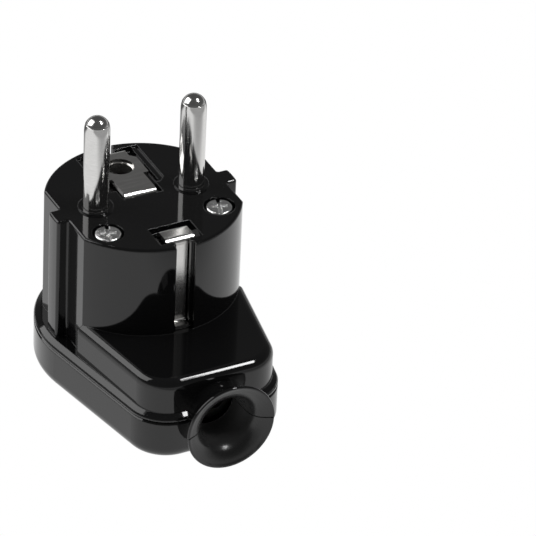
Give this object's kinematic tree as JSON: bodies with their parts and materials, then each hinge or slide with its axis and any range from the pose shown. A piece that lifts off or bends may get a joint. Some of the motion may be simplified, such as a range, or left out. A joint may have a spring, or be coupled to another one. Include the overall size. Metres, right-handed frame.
{
  "type": "type f plug",
  "caption": "Angled rewirable mains plug: keyed round body with round pins, side earth contacts and earth-pin hole, on a tapered cord housing with a flared outlet.",
  "frame": {"origin": "on the cover's flat back, on the axis midway between the pins", "axes": "+Z along the pins towards their tips, -Y towards the cord outlet, +X across the pins"},
  "size_m": [0.0388, 0.0574, 0.0538],
  "materials": {
    "moulding": "glossy black moulding",
    "pins": "bright nickel plating",
    "contact": "bright plated strip",
    "screws": "bright zinc plating",
    "clamp": "pressed plated steel"
  },
  "bodies": {
    "root": {"front_housing": "moulding", "rear_cover": "moulding", "line_pin": "pins", "neutral_pin": "pins", "earth_bracket": "contact", "earth_socket": "contact", "line_terminal_screw": "screws", "neutral_terminal_screw": "screws", "earth_terminal_screw": "screws", "earth_clamp_washer": "screws", "earth_terminal_nut": "screws", "housing_screw_left": "screws", "housing_screw_right": "screws", "housing_nut_left": "screws", "housing_nut_right": "screws", "cord_clamp_bar": "clamp", "cord_clamp_screw_left": "screws", "cord_clamp_screw_right": "screws"}
  },
  "joints": []
}
